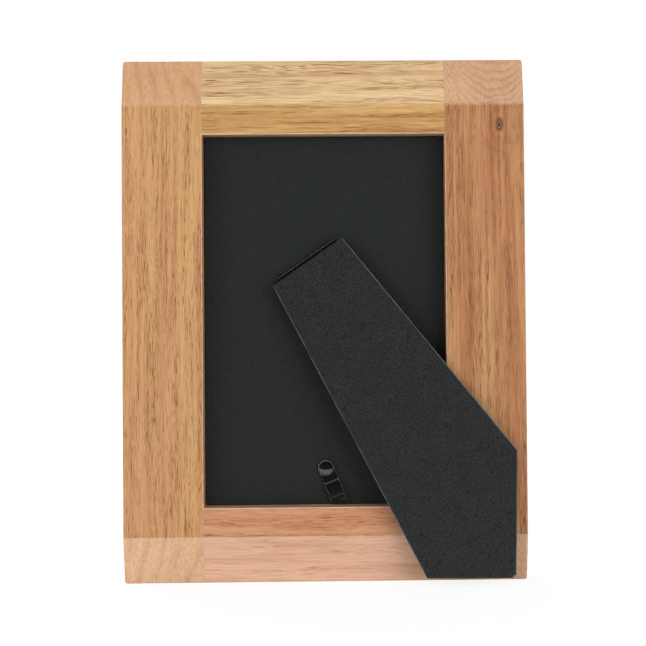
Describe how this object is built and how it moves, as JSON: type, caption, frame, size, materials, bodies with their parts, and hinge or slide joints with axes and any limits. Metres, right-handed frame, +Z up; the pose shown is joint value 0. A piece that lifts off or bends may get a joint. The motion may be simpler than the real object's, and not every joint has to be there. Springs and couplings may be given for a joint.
{
  "type": "easel back photo frame",
  "caption": "Wooden tabletop photo frame with a recessed black easel back: a slanting hinged leg folds into the rear, and a riveted turn clip holds the removable backing in the rebate.",
  "frame": {"origin": "on the base, in the middle of the frame's width and of the wood's thickness", "axes": "+Z up along the stiles, the picture faces -Y, and the easel back faces +Y"},
  "size_m": [0.17, 0.0315, 0.221],
  "materials": {
    "stile_wood": "open-pored hardwood, satin",
    "rail_wood": "open-pored hardwood, satin",
    "dowel_wood": "turned beech",
    "clear_glass": "float glass",
    "insert_paper": "blank satin photo paper",
    "filler_board": "uncoated card",
    "fibreboard": "hardboard",
    "black_paper": "matt black paper",
    "bright_steel": "zinc plated",
    "black_steel": "black lacquered steel",
    "greyboard": "grey millboard",
    "leather_paper": "embossed leather-grained paper"
  },
  "bodies": {
    "frame": {"left_stile": "stile_wood", "right_stile": "stile_wood", "top_rail": "rail_wood", "bottom_rail": "rail_wood", "corner_dowels": "dowel_wood", "glass_pane": "clear_glass", "photo_insert": "insert_paper", "filler_card": "filler_board"},
    "backing": {"backing_board": "fibreboard", "backing_paper": "black_paper", "top_tabs": "bright_steel", "tab_rivets": "bright_steel", "hinge_board_leaf": "black_steel", "hinge_pin": "bright_steel", "hinge_board_rivets": "black_steel", "clip_rivet": "black_steel", "clip_washer": "black_steel"},
    "leg": {"leg_core": "greyboard", "leg_cover": "leather_paper", "leg_lining": "black_paper", "hinge_leg_leaf": "black_steel", "hinge_leg_rivets": "black_steel"},
    "clip": {"turn_clip": "black_steel"}
  },
  "joints": [
    {"name": "backing_tip", "type": "hinge", "parent": "frame", "child": "backing", "pos_m": [0, 0.002, 0.1885], "axis": [1, 0, 0], "range_deg": [0, 16]},
    {"name": "leg_fold", "type": "hinge", "parent": "backing", "child": "leg", "pos_m": [0.0075, 0.00355, 0.1358], "axis": [0.8231, 0, -0.5678], "range_deg": [0, 24]},
    {"name": "clip_turn", "type": "hinge", "parent": "backing", "child": "clip", "pos_m": [0, 0.00285, 0.0477], "axis": [0, 1, 0], "continuous": true}
  ]
}
